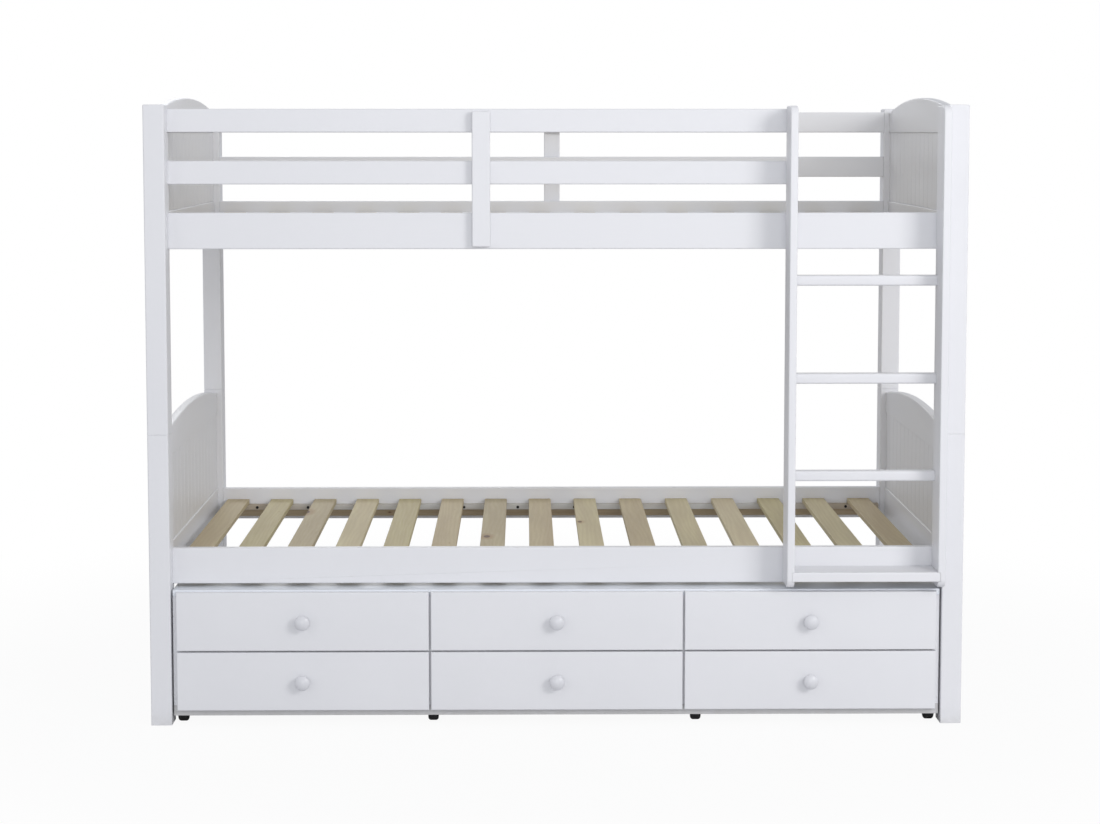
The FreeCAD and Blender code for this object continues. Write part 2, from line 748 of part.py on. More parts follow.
def castor_wheel(x, y):
    half = wheel_width / 2
    bore = axle_diameter / 2 + axle_gap
    flat = half - wheel_tread_round
    shoulder = wheel_radius - wheel_tread_round
    bend = wheel_tread_round * math.sqrt(0.5)
    inner_low = vector(-half, bore, 0)
    inner_high = vector(-half, shoulder, 0)
    left_top = vector(-flat, wheel_radius, 0)
    right_top = vector(flat, wheel_radius, 0)
    outer_high = vector(half, shoulder, 0)
    outer_low = vector(half, bore, 0)
    left_bend = vector(-flat - bend, shoulder + bend, 0)
    right_bend = vector(flat + bend, shoulder + bend, 0)
    profile = Part.Wire([Part.makeLine(inner_low, inner_high),
                         Part.Arc(inner_high, left_bend, left_top).toShape(),
                         Part.makeLine(left_top, right_top),
                         Part.Arc(right_top, right_bend, outer_high).toShape(),
                         Part.makeLine(outer_high, outer_low),
                         Part.makeLine(outer_low, inner_low)])
    solid = Part.Face(profile).revolve(vector(0, 0, 0), x_axis, 360)
    solid.translate(vector(x, y, wheel_axle_z))
    return solid


def make_castors():
    save("castor_forks", [castor_fork(x, y) for y in castor_ys for x in castor_places])
    save("castor_wheels_front", [castor_wheel(x, castor_ys[0]) for x in castor_places])
    save("castor_wheels_rear", [castor_wheel(x, castor_ys[1]) for x in castor_places])


def main():
    os.makedirs("parts", exist_ok=True)
    holes = fastening_holes()
    make_end_frames(holes)
    make_rails(holes)
    make_guard_posts(holes)
    save("slat_cleats", cleats(holes))
    save("slats_lower", slats(lower_rail_bottom))
    save("slats_upper", slats(upper_rail_bottom))
    make_ladder(holes)
    save("post_pins", post_pins())
    save("bed_bolts", bed_bolts())
    save("barrel_nuts", barrel_nuts())
    make_carcass()
    save("drawer_runners", runner_strips())
    make_castors()
    make_drawers()


main()
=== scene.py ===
import math
import bpy
from mathutils import Matrix, Vector


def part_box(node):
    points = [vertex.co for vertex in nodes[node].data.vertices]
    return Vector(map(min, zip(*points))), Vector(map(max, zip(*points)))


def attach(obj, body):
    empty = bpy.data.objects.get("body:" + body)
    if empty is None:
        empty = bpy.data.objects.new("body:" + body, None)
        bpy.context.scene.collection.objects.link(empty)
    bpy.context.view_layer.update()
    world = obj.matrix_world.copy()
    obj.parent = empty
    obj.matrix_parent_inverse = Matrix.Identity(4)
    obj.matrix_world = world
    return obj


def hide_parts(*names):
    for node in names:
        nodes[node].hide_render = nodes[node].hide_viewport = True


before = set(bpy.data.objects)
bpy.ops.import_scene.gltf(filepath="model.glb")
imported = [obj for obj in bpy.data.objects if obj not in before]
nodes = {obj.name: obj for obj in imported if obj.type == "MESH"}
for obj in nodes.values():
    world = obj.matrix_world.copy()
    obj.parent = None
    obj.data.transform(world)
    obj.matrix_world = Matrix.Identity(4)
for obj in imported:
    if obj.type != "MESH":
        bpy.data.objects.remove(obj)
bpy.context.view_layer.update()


# Helpers for shader trees: a link, single nodes, and a group with named sockets.

def link(tree, fromNode, fromSocket, toNode, toSocket):
    tree.links.new(fromNode.outputs[fromSocket], toNode.inputs[toSocket])


def addNode(tree, kind, place, sockets=None, **values):
    node = tree.nodes.new(kind)
    node.location = place
    for name, value in values.items():
        setattr(node, name, value)
    for name, value in (sockets or {}).items():
        node.inputs[name].default_value = value
    return node


def mathNode(tree, operation, place, first=None, second=None):
    node = addNode(tree, "ShaderNodeMath", place, operation=operation)
    if first is not None:
        node.inputs[0].default_value = first
    if second is not None:
        node.inputs[1].default_value = second
    return node


def rangeNode(tree, place, fromMin, fromMax, toMin, toMax, smooth=False):
    kind = "SMOOTHSTEP" if smooth else "LINEAR"
    sockets = {"From Min": fromMin, "From Max": fromMax, "To Min": toMin, "To Max": toMax}
    return addNode(tree, "ShaderNodeMapRange", place, sockets, interpolation_type=kind)


def noiseNode(tree, place, scale, detail, **sockets):
    return addNode(tree, "ShaderNodeTexNoise", place, dict(sockets, Scale=scale, Detail=detail))


def rampNode(tree, place, stops):
    node = addNode(tree, "ShaderNodeValToRGB", place)
    ramp = node.color_ramp
    ramp.elements[0].position, ramp.elements[0].color = stops[0]
    ramp.elements[1].position, ramp.elements[1].color = stops[1]
    for position, colour in stops[2:]:
        ramp.elements.new(position).color = colour
    return node


def newGroup(name, inputs, outputs):
    group = bpy.data.node_groups.new(name, "ShaderNodeTree")
    for socketName, socketType, value in inputs:
        socket = group.interface.new_socket(socketName, in_out="INPUT", socket_type=socketType)
        if value is not None:
            socket.default_value = value
    for socketName, socketType in outputs:
        group.interface.new_socket(socketName, in_out="OUTPUT", socket_type=socketType)
    start = addNode(group, "NodeGroupInput", (-1000, 0))
    end = addNode(group, "NodeGroupOutput", (1000, 0))
    return group, start, end


def placeGroup(tree, group, place, **values):
    return addNode(tree, "ShaderNodeGroup", place, values, node_tree=group)


# Shared effects.

filmShape = {"cloudScale": 3.5, "streakScale": 160.0, "peelScale": 650.0, "stretch": 0.06}


def makePaintFilm():
    # Sprayed paint over wood: broad tone, faint grain showing through, and a fine orange peel.
    group, start, end = newGroup(
        "paintFilm",
        [("Vector", "NodeSocketVector", None), ("Grain", "NodeSocketFloat", 1.0),
         ("Peel", "NodeSocketFloat", 1.0)],
        [("Tone", "NodeSocketFloat"), ("Streak", "NodeSocketFloat"), ("Height", "NodeSocketFloat")])
    stretch = addNode(group, "ShaderNodeMapping", (-680, 120),
                      {"Scale": (1.0, 1.0, filmShape["stretch"])})
    cloud = noiseNode(group, (-420, 320), filmShape["cloudScale"], 3.0)
    streak = noiseNode(group, (-420, 60), filmShape["streakScale"], 4.0)
    peel = noiseNode(group, (-420, -200), filmShape["peelScale"], 2.0)
    grainHeight = mathNode(group, "MULTIPLY", (-160, 60))
    peelHeight = mathNode(group, "MULTIPLY", (-160, -200))
    height = mathNode(group, "ADD", (80, -80))
    link(group, start, "Vector", stretch, "Vector")
    link(group, start, "Vector", cloud, "Vector")
    link(group, stretch, "Vector", streak, "Vector")
    link(group, start, "Vector", peel, "Vector")
    link(group, streak, "Fac", grainHeight, 0)
    link(group, start, "Grain", grainHeight, 1)
    link(group, peel, "Fac", peelHeight, 0)
    link(group, start, "Peel", peelHeight, 1)
    link(group, grainHeight, "Value", height, 0)
    link(group, peelHeight, "Value", height, 1)
    link(group, cloud, "Fac", end, "Tone")
    link(group, streak, "Fac", end, "Streak")
    link(group, height, "Value", end, "Height")
    return group


edgeShape = {  # "flat" and "turned" say how far the eased normal agrees with the plain one
    "samples": 4, "flat": 0.985, "turned": 0.8}


def makeEasedEdge():
    # The normal of an edge rounded over, and how far a point lies on such an edge.
    group, start, end = newGroup(
        "easedEdge", [("Radius", "NodeSocketFloat", 0.0015)],
        [("Normal", "NodeSocketVector"), ("Edge", "NodeSocketFloat")])
    ease = addNode(group, "ShaderNodeBevel", (-600, 0), samples=edgeShape["samples"])
    plain = addNode(group, "ShaderNodeNewGeometry", (-600, -240))
    agree = addNode(group, "ShaderNodeVectorMath", (-300, 0), operation="DOT_PRODUCT")
    edge = rangeNode(group, (0, 0), edgeShape["flat"], edgeShape["turned"], 0.0, 1.0, smooth=True)
    link(group, start, "Radius", ease, "Radius")
    link(group, ease, "Normal", agree, 0)
    link(group, plain, "Normal", agree, 1)
    link(group, agree, "Value", edge, "Value")
    link(group, ease, "Normal", end, "Normal")
    link(group, edge, "Result", end, "Edge")
    return group


darkeningShape = {"scale": 38.0, "rough": 0.65, "patchFrom": 0.35, "patchTo": 0.7, "least": 0.25}


def makeNearFloorDarkening():
    # Darker towards the floor, in patches, over the last few centimetres above it.
    group, start, end = newGroup(
        "nearFloorDarkening", [("Vector", "NodeSocketVector", None), ("Reach", "NodeSocketFloat", 0.07)],
        [("Amount", "NodeSocketFloat")])
    split = addNode(group, "ShaderNodeSeparateXYZ", (-700, 120))
    low = rangeNode(group, (-400, 120), 0.0, 0.07, 1.0, 0.0, smooth=True)
    patchNoise = noiseNode(group, (-700, -160), darkeningShape["scale"], 5.0, Roughness=darkeningShape["rough"])
    patch = rangeNode(group, (-400, -160), darkeningShape["patchFrom"], darkeningShape["patchTo"],
                      darkeningShape["least"], 1.0)
    amount = mathNode(group, "MULTIPLY", (-100, 0))
    link(group, start, "Vector", split, "Vector")
    link(group, split, "Z", low, "Value")
    link(group, start, "Reach", low, "From Max")
    link(group, start, "Vector", patchNoise, "Vector")
    link(group, patchNoise, "Fac", patch, "Value")
    link(group, low, "Result", amount, 0)
    link(group, patch, "Result", amount, 1)
    link(group, amount, "Value", end, "Amount")
    return group


grainShape = {
    "driftStretch": 0.16, "driftScale": 9.0, "bend": 0.085, "push": 0.006,
    "knotStretch": 0.45, "knotCells": 5.5, "scatter": 0.9, "knotSize": 0.075,
    "knotEdge": 70.0, "haloSize": 2.6, "haloEdge": 14.0,
    "broadStretch": 0.10, "broadScale": 30.0, "fibreStretch": 0.03, "fibreScale": 520.0}


def makeWoodGrain():
    # Plain-sawn wood whose grain runs along Z: wavy growth lines that bend round a few knots,
    # broad streaks of early and late wood, and fine fibres.
    group, start, end = newGroup(
        "woodGrain",
        [("Vector", "NodeSocketVector", None), ("Rings", "NodeSocketFloat", 130.0),
         ("Knots", "NodeSocketFloat", 0.5)],
        [("Ring", "NodeSocketFloat"), ("Broad", "NodeSocketFloat"), ("Fibre", "NodeSocketFloat"),
         ("Knot", "NodeSocketFloat"), ("Halo", "NodeSocketFloat")])
    drift = addNode(group, "ShaderNodeMapping", (-800, 420),
                    {"Scale": (1.0, 1.0, grainShape["driftStretch"])})
    warp = noiseNode(group, (-600, 420), grainShape["driftScale"], 2.0)
    split = addNode(group, "ShaderNodeSeparateXYZ", (-800, 60))
    across = mathNode(group, "ADD", (-600, 160))
    along = mathNode(group, "MULTIPLY", (-600, -40), second=grainShape["knotStretch"])
    plane = addNode(group, "ShaderNodeCombineXYZ", (-420, 60))
    cells = addNode(group, "ShaderNodeTexVoronoi", (-240, 60),
                    {"Scale": grainShape["knotCells"], "Randomness": grainShape["scatter"]},
                    voronoi_dimensions="2D")
    lot = addNode(group, "ShaderNodeSeparateColor", (-40, -60))
    share = mathNode(group, "SUBTRACT", (-40, -240), first=1.0)
    size = rangeNode(group, (140, -120), 0.5, 1.0, 0.0, grainShape["knotSize"])
    core = mathNode(group, "SUBTRACT", (320, 0))
    sharp = mathNode(group, "MULTIPLY", (500, 0), second=grainShape["knotEdge"])
    knot = mathNode(group, "MINIMUM", (680, 0), second=1.0)
    wide = mathNode(group, "MULTIPLY", (320, -200), second=grainShape["haloSize"])
    ringed = mathNode(group, "SUBTRACT", (500, -200))
    soft = mathNode(group, "MULTIPLY", (680, -200), second=grainShape["haloEdge"])
    halo = addNode(group, "ShaderNodeClamp", (840, -200))
    knotOnly = addNode(group, "ShaderNodeClamp", (840, 0))
    bend = mathNode(group, "MULTIPLY", (-240, 420), second=grainShape["bend"])
    push = mathNode(group, "MULTIPLY", (-240, 600), second=grainShape["push"])
    bent = mathNode(group, "ADD", (-40, 500))
    shifted = mathNode(group, "ADD", (140, 420))
    turns = mathNode(group, "MULTIPLY", (320, 420))
    wave = mathNode(group, "SINE", (500, 420))
    ring = rangeNode(group, (680, 420), -1.0, 1.0, 0.0, 1.0)
    long = addNode(group, "ShaderNodeMapping", (-800, -420),
                   {"Scale": (1.0, 1.0, grainShape["broadStretch"])})
    broad = noiseNode(group, (-600, -420), grainShape["broadScale"], 2.0)
    spread = rangeNode(group, (-400, -420), 0.3, 0.7, 0.0, 1.0, smooth=True)
    fine = addNode(group, "ShaderNodeMapping", (-800, -640),
                   {"Scale": (1.0, 1.0, grainShape["fibreStretch"])})
    fibre = noiseNode(group, (-600, -640), grainShape["fibreScale"], 3.0)
    link(group, start, "Vector", drift, "Vector")
    link(group, drift, "Vector", warp, "Vector")
    link(group, start, "Vector", split, "Vector")
    link(group, split, "X", across, 0)
    link(group, split, "Y", across, 1)
    link(group, split, "Z", along, 0)
    link(group, across, "Value", plane, "X")
    link(group, along, "Value", plane, "Y")
    link(group, plane, "Vector", cells, "Vector")
    link(group, cells, "Color", lot, "Color")
    link(group, start, "Knots", share, 1)
    link(group, lot, "Red", size, "Value")
    link(group, share, "Value", size, "From Min")
    link(group, size, "Result", core, 0)
    link(group, cells, "Distance", core, 1)
    link(group, core, "Value", sharp, 0)
    link(group, sharp, "Value", knot, 0)
    link(group, knot, "Value", knotOnly, "Value")
    link(group, size, "Result", wide, 0)
    link(group, wide, "Value", ringed, 0)
    link(group, cells, "Distance", ringed, 1)
    link(group, ringed, "Value", soft, 0)
    link(group, soft, "Value", halo, "Value")
    link(group, warp, "Fac", bend, 0)
    link(group, halo, "Result", push, 0)
    link(group, bend, "Value", bent, 0)
    link(group, push, "Value", bent, 1)
    link(group, across, "Value", shifted, 0)
    link(group, bent, "Value", shifted, 1)
    link(group, shifted, "Value", turns, 0)
    link(group, start, "Rings", turns, 1)
    link(group, turns, "Value", wave, 0)
    link(group, wave, "Value", ring, "Value")
    link(group, start, "Vector", long, "Vector")
    link(group, long, "Vector", broad, "Vector")
    link(group, broad, "Fac", spread, "Value")
    link(group, start, "Vector", fine, "Vector")
    link(group, fine, "Vector", fibre, "Vector")
    link(group, ring, "Result", end, "Ring")
    link(group, spread, "Result", end, "Broad")
    link(group, fibre, "Fac", end, "Fibre")
    link(group, knotOnly, "Result", end, "Knot")
    link(group, halo, "Result", end, "Halo")
    return group


boardJump = 7.0  # the most, in metres along each axis, that a board's grain is moved


def makeBoardTone():
    # A different tone and a different piece of the grain for each board along X.
    group, start, end = newGroup(
        "boardTone",
        [("Vector", "NodeSocketVector", None), ("Pitch", "NodeSocketFloat", 0.1295),
         ("Offset", "NodeSocketFloat", 0.0)],
        [("Vector", "NodeSocketVector"), ("Tone", "NodeSocketFloat")])
    split = addNode(group, "ShaderNodeSeparateXYZ", (-700, 0))
    shifted = mathNode(group, "ADD", (-520, 0))
    steps = mathNode(group, "DIVIDE", (-360, 0))
    index = mathNode(group, "FLOOR", (-200, 0))
    pick = addNode(group, "ShaderNodeTexWhiteNoise", (-20, 0), noise_dimensions="1D")
    spread = addNode(group, "ShaderNodeVectorMath", (180, -120), {"Scale": boardJump},
                     operation="SCALE")
    moved = addNode(group, "ShaderNodeVectorMath", (380, -120), operation="ADD")
    link(group, start, "Vector", split, "Vector")
    link(group, split, "X", shifted, 0)
    link(group, start, "Offset", shifted, 1)
    link(group, shifted, "Value", steps, 0)
    link(group, start, "Pitch", steps, 1)
    link(group, steps, "Value", index, 0)
    link(group, index, "Value", pick, "W")
    link(group, pick, "Color", spread, 0)
    link(group, start, "Vector", moved, 0)
    link(group, spread, "Vector", moved, 1)
    link(group, moved, "Vector", end, "Vector")
    link(group, pick, "Value", end, "Tone")
    return group


plyShape = {"step": 0.35, "speckScale": 420.0, "solid": 0.68, "void": 0.76}


def makePlyEdge():
    # The layers of plywood seen on a sawn edge, counted along one coordinate.
    group, start, end = newGroup(
        "plyEdge", [("Coordinate", "NodeSocketFloat", 0.0), ("Layer", "NodeSocketFloat", 0.0026),
                    ("Vector", "NodeSocketVector", None)],
        [("Layer", "NodeSocketFloat"), ("Void", "NodeSocketFloat")])
    turns = mathNode(group, "DIVIDE", (-700, 120))
    angle = mathNode(group, "MULTIPLY", (-520, 120), second=2.0 * math.pi)
    wave = mathNode(group, "SINE", (-340, 120))
    layer = rangeNode(group, (-140, 120), -plyShape["step"], plyShape["step"], 0.0, 1.0, smooth=True)
    specks = noiseNode(group, (-520, -200), plyShape["speckScale"], 1.0)
    void = rangeNode(group, (-140, -200), plyShape["solid"], plyShape["void"], 0.0, 1.0)
    link(group, start, "Coordinate", turns, 0)
    link(group, start, "Layer", turns, 1)
    link(group, turns, "Value", angle, 0)
    link(group, angle, "Value", wave, 0)
    link(group, wave, "Value", layer, "Value")
    link(group, start, "Vector", specks, "Vector")
    link(group, specks, "Fac", void, "Value")
    link(group, layer, "Result", end, "Layer")
    link(group, void, "Result", end, "Void")
    return group


paintFilm = makePaintFilm()
easedEdge = makeEasedEdge()
nearFloorDarkening = makeNearFloorDarkening()
woodGrain = makeWoodGrain()
boardTone = makeBoardTone()
plyEdge = makePlyEdge()
print("stage: shared effects")


# Materials.

grainTurns = {  # turns that bring the grain direction, Z in the groups, onto each axis
    "upright": (0.0, 0.0, 0.0),
    "lengthwise": (0.0, math.pi / 2, 0.0),
    "crosswise": (math.pi / 2, 0.0, 0.0)}


def newMaterial(name):
    material = bpy.data.materials.new(name)
    material.use_nodes = True
    tree = material.node_tree
    tree.nodes.clear()
    out = addNode(tree, "ShaderNodeOutputMaterial", (1500, 0))
    shader = addNode(tree, "ShaderNodeBsdfPrincipled", (1200, 0))
    link(tree, shader, "BSDF", out, "Surface")
    return material, tree, shader


def objectVector(tree, grain):
    place = addNode(tree, "ShaderNodeTexCoord", (-1300, 0))
    turn = addNode(tree, "ShaderNodeMapping", (-1080, 0), {"Rotation": grainTurns[grain]})
    link(tree, place, "Object", turn, "Vector")
    return place, turn


def mixColours(tree, place, colour, second, factor, factorSocket, amount=1.0):
    # Mixes a second colour into one that is a plain value or comes from a (node, socket).
    mix = addNode(tree, "ShaderNodeMix", place, {"B": second}, data_type="RGBA")
    if isinstance(colour[0], float):
        mix.inputs["A"].default_value = colour
    else:
        link(tree, colour[0], colour[1], mix, "A")
    if amount == 1.0:
        link(tree, factor, factorSocket, mix, "Factor")
    else:
        part = mathNode(tree, "MULTIPLY", (place[0] - 180, place[1] - 160), second=amount)
        link(tree, factor, factorSocket, part, 0)
        link(tree, part, "Value", mix, "Factor")
    return mix


def surfaceFrom(tree, shader, height, heightSocket, look):
    # An eased edge under a fine bump.
    ease = placeGroup(tree, easedEdge, (680, -420), Radius=look["ease"])
    bump = addNode(tree, "ShaderNodeBump", (920, -320),
                   {"Strength": look["bump"], "Distance": look["bumpDepth"]})
    link(tree, height, heightSocket, bump, "Height")
    link(tree, ease, "Normal", bump, "Normal")
    link(tree, bump, "Normal", shader, "Normal")
    return ease


noiseSpan = (0.25, 0.75)  # most of a noise texture's values lie between these


def roughnessFrom(tree, shader, fromNode, fromSocket, look):
    spread = rangeNode(tree, (920, -60), *noiseSpan, look["roughLow"], look["roughHigh"])
    link(tree, fromNode, fromSocket, spread, "Value")
    link(tree, spread, "Result", shader, "Roughness")


def whitePaint(name, grain, look):
    material, tree, shader = newMaterial(name)
    place, turn = objectVector(tree, grain)
    film = placeGroup(tree, paintFilm, (-700, 0), Grain=look["grain"], Peel=look["peel"])
    link(tree, turn, "Vector", film, "Vector")
    ease = surfaceFrom(tree, shader, film, "Height", look)
    tone = mixColours(tree, (-300, 160), look["shade"], look["light"], film, "Tone")
    grained = mixColours(tree, (0, 160), (tone, "Result"), look["streakColour"], film, "Streak",
                         look["streaks"])
    worn = mathNode(tree, "MULTIPLY", (0, -180))
    link(tree, ease, "Edge", worn, 0)
    link(tree, film, "Tone", worn, 1)
    edged = mixColours(tree, (320, 160), (grained, "Result"), look["edgeColour"], worn, "Value",
                       look["wear"])
    # Darker towards the floor, in patches.
    lowDarkening = placeGroup(tree, nearFloorDarkening, (320, -120), Reach=look["lowReach"])
    link(tree, place, "Object", lowDarkening, "Vector")
    darkenedLow = mixColours(tree, (640, 160), (edged, "Result"), look["lowColour"], lowDarkening, "Amount",
                       look["lowDarkening"])
    link(tree, darkenedLow, "Result", shader, "Base Color")
    roughnessFrom(tree, shader, film, "Tone", look)
    shader.inputs["Coat Weight"].default_value = look["coat"]
    shader.inputs["Coat Roughness"].default_value = look["coatRough"]
    return material


boardPaint = {
    "shade": (0.745, 0.750, 0.778, 1.0), "light": (0.785, 0.789, 0.815, 1.0),
    "streakColour": (0.70, 0.70, 0.72, 1.0), "streaks": 0.12, "grain": 0.7, "peel": 0.5,
    "edgeColour": (0.66, 0.655, 0.65, 1.0), "wear": 0.9, "ease": 0.0015,
    "lowColour": (0.50, 0.49, 0.47, 1.0), "lowDarkening": 0.35, "lowReach": 0.05,
    "roughLow": 0.34, "roughHigh": 0.46, "bump": 0.14, "bumpDepth": 0.0004,
    "coat": 0.12, "coatRough": 0.28}
# The knobs' paint is darker than the same white paint on the fronts: painted shade on the knobs.
knobShadedPaint = dict(
    boardPaint, shade=(0.67, 0.675, 0.71, 1.0), light=(0.70, 0.705, 0.735, 1.0), grain=0.15,
    streaks=0.05, roughLow=0.32, roughHigh=0.4, ease=0.0006, wear=0.3)
frontPaint = dict(boardPaint, grain=0.45, streaks=0.07, ease=0.002)
# The plinth's paint is darker grey than the boards': painted shade for the recess under the drawer
# fronts.
plinthShadedPaint = dict(
    boardPaint, shade=(0.56, 0.56, 0.57, 1.0), light=(0.61, 0.61, 0.62, 1.0), lowDarkening=0.8,
    lowReach=0.075, ease=0.001)
# The chest top's paint is lighter and bluer than the boards': painted light falling from above on
# the top board.
topLitPaint = dict(
    boardPaint, shade=(0.785, 0.82, 0.875, 1.0), light=(0.815, 0.85, 0.90, 1.0), grain=0.5)

paintUpright = whitePaint("paintUpright", "upright", boardPaint)
paintLengthwise = whitePaint("paintLengthwise", "lengthwise", boardPaint)
paintCrosswise = whitePaint("paintCrosswise", "crosswise", boardPaint)
paintFront = whitePaint("paintFront", "lengthwise", frontPaint)
paintKnobShaded = whitePaint("paintKnobShaded", "upright", knobShadedPaint)
paintPlinthShaded = whitePaint("paintPlinthShaded", "lengthwise", plinthShadedPaint)
paintTopLit = whitePaint("paintTopLit", "lengthwise", topLitPaint)


def woodColours(tree, place, turn, look):
    # Growth rings, broad streaks, fibres and knots, and a tone for each board where the look asks
    # for it.
    if look["boards"]:
        board = placeGroup(tree, boardTone, (-1280, 260), Pitch=look["pitch"], Offset=look["offset"])
        link(tree, place, "Object", board, "Vector")
        link(tree, board, "Vector", turn, "Vector")
    wood = placeGroup(tree, woodGrain, (-860, 0), Rings=look["rings"], Knots=look["knotShare"])
    link(tree, turn, "Vector", wood, "Vector")
    rings = mixColours(tree, (-560, 200), look["early"], look["late"], wood, "Ring")
    broad = mixColours(tree, (-320, 200), (rings, "Result"), look["broadColour"], wood, "Broad",
                       look["broad"])
    fibred = mixColours(tree, (-80, 200), (broad, "Result"), look["fibreColour"], wood, "Fibre",
                        look["fibres"])
    ringed = mixColours(tree, (160, 200), (fibred, "Result"), look["haloColour"], wood, "Halo",
                        look["halos"])
    knotted = mixColours(tree, (400, 200), (ringed, "Result"), look["knotColour"], wood, "Knot",
                         look["knots"])
    if not look["boards"]:
        return wood, knotted, "Result"
    tones = rampNode(tree, (160, 480), look["tones"])
    tones.color_ramp.interpolation = "CONSTANT"
    toned = addNode(tree, "ShaderNodeVectorMath", (640, 300), operation="MULTIPLY")
    link(tree, board, "Tone", tones, "Fac")
    link(tree, knotted, "Result", toned, 0)
    link(tree, tones, "Color", toned, 1)
    return wood, toned, "Vector"


def plainWood(name, grain, look):
    material, tree, shader = newMaterial(name)
    place, turn = objectVector(tree, grain)
    wood, colour, socket = woodColours(tree, place, turn, look)
    link(tree, colour, socket, shader, "Base Color")
    roughnessFrom(tree, shader, wood, "Fibre", look)
    surfaceFrom(tree, shader, wood, "Fibre", look)
    return material


pineLook = {
    "early": (0.55, 0.483, 0.312, 1.0), "late": (0.512, 0.443, 0.278, 1.0), "rings": 520.0,
    "broadColour": (0.44, 0.36, 0.232, 1.0), "broad": 0.55,
    "fibreColour": (0.44, 0.36, 0.24, 1.0), "fibres": 0.22,
    "haloColour": (0.38, 0.235, 0.12, 1.0), "halos": 0.6,
    "knotColour": (0.12, 0.065, 0.035, 1.0), "knots": 0.9, "knotShare": 0.65,
    "boards": True, "pitch": 0.1295, "offset": 0.9958,
    "tones": ((0.0, (1.02, 1.03, 0.90, 1.0)), (0.2, (1.22, 1.23, 1.26, 1.0)),
              (0.4, (1.02, 0.985, 0.95, 1.0)), (0.6, (1.14, 1.15, 1.10, 1.0)),
              (0.8, (0.94, 0.925, 0.90, 1.0))),
    "roughLow": 0.52, "roughHigh": 0.68, "bump": 0.3, "bumpDepth": 0.0003, "ease": 0.0012}
birchLook = dict(
    pineLook, boards=False, early=(0.70, 0.585, 0.43, 1.0), late=(0.66, 0.535, 0.385, 1.0),
    rings=240.0, broadColour=(0.63, 0.50, 0.36, 1.0), fibreColour=(0.52, 0.40, 0.28, 1.0),
    fibres=0.25, knots=0.0, halos=0.0, roughLow=0.36, roughHigh=0.46, bump=0.15, ease=0.0008)

pineAcross = plainWood("pineAcross", "crosswise", pineLook)
birchLengthwise = plainWood("birchLengthwise", "lengthwise", birchLook)
birchCrosswise = plainWood("birchCrosswise", "crosswise", birchLook)
beechUpright = plainWood("beechUpright", "upright", dict(birchLook, early=(0.58, 0.42, 0.27, 1.0)))


def primedCleatWithShade(name, look):
    # Brown raw wood below, dark partly as painted shade under the lip, and a thin coat of primer on
    # the thicker upper lip, with less of it towards the ends.
    material, tree, shader = newMaterial(name)
    place, turn = objectVector(tree, "lengthwise")
    wood, colour, socket = woodColours(tree, place, turn, look)
    split = addNode(tree, "ShaderNodeSeparateXYZ", (-860, -420))
    link(tree, place, "Object", split, "Vector")
    upper = mathNode(tree, "GREATER_THAN", (-660, -360), second=look["between"])
    drop = mathNode(tree, "MULTIPLY", (-480, -360), second=-look["levelStep"])
    level = mathNode(tree, "ADD", (-300, -420))
    coat = rangeNode(tree, (-100, -420), look["lipBottom"] - look["coatEdge"],
                     look["lipBottom"] + look["coatEdge"], 0.0, 1.0)
    far = mathNode(tree, "ABSOLUTE", (-660, -560))
    fade = rangeNode(tree, (-480, -560), look["fadeFrom"], look["fadeTo"], 1.0, look["fadeShare"],
                     smooth=True)
    patchy = rangeNode(tree, (-480, -760), 0.0, 1.0, look["patchShare"], 1.0)
    coverage = mathNode(tree, "MULTIPLY", (-100, -620))
    primer = mathNode(tree, "MULTIPLY", (100, -480))
    link(tree, split, "Z", upper, 0)
    link(tree, upper, "Value", drop, 0)
    link(tree, split, "Z", level, 0)
    link(tree, drop, "Value", level, 1)
    link(tree, level, "Value", coat, "Value")
    link(tree, split, "X", far, 0)
    link(tree, far, "Value", fade, "Value")
    link(tree, wood, "Broad", patchy, "Value")
    link(tree, fade, "Result", coverage, 0)
    link(tree, patchy, "Result", coverage, 1)
    link(tree, coat, "Result", primer, 0)
    link(tree, coverage, "Value", primer, 1)
    primed = mixColours(tree, (760, 120), (colour, socket), look["primer"], primer, "Value")
    link(tree, primed, "Result", shader, "Base Color")
    roughnessFrom(tree, shader, wood, "Fibre", look)
    surfaceFrom(tree, shader, wood, "Fibre", look)
    return material


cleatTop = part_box("slats_lower")[0].z
# The cleat's wood is darker than the slats' pine: partly its own tone, partly painted shade under
# the lip.
pineCleatShaded = primedCleatWithShade("pineCleatShaded", dict(
    pineLook, boards=False, early=(0.40, 0.31, 0.205, 1.0), late=(0.35, 0.265, 0.17, 1.0),
    knotShare=0.3, primer=(0.63, 0.625, 0.61, 1.0), lipBottom=cleatTop - 0.015, coatEdge=0.0006,
    between=1.0, levelStep=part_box("slats_upper")[0].z - cleatTop, patchShare=0.6,
    fadeFrom=0.62, fadeTo=0.86, fadeShare=0.35))


def plywoodEdge(name, axis, look):
    material, tree, shader = newMaterial(name)
    place = addNode(tree, "ShaderNodeTexCoord", (-1300, 0))
    split = addNode(tree, "ShaderNodeSeparateXYZ", (-1080, 0))
    ply = placeGroup(tree, plyEdge, (-800, 0), Layer=look["layer"])
    link(tree, place, "Object", split, "Vector")
    link(tree, split, axis, ply, "Coordinate")
    link(tree, place, "Object", ply, "Vector")
    layers = mixColours(tree, (-300, 120), look["pale"], look["dark"], ply, "Layer")
    gaps = mixColours(tree, (0, 120), (layers, "Result"), look["voidColour"], ply, "Void",
                      look["voids"])
    link(tree, gaps, "Result", shader, "Base Color")
    roughnessFrom(tree, shader, ply, "Layer", look)
    surfaceFrom(tree, shader, ply, "Layer", look)
    return material


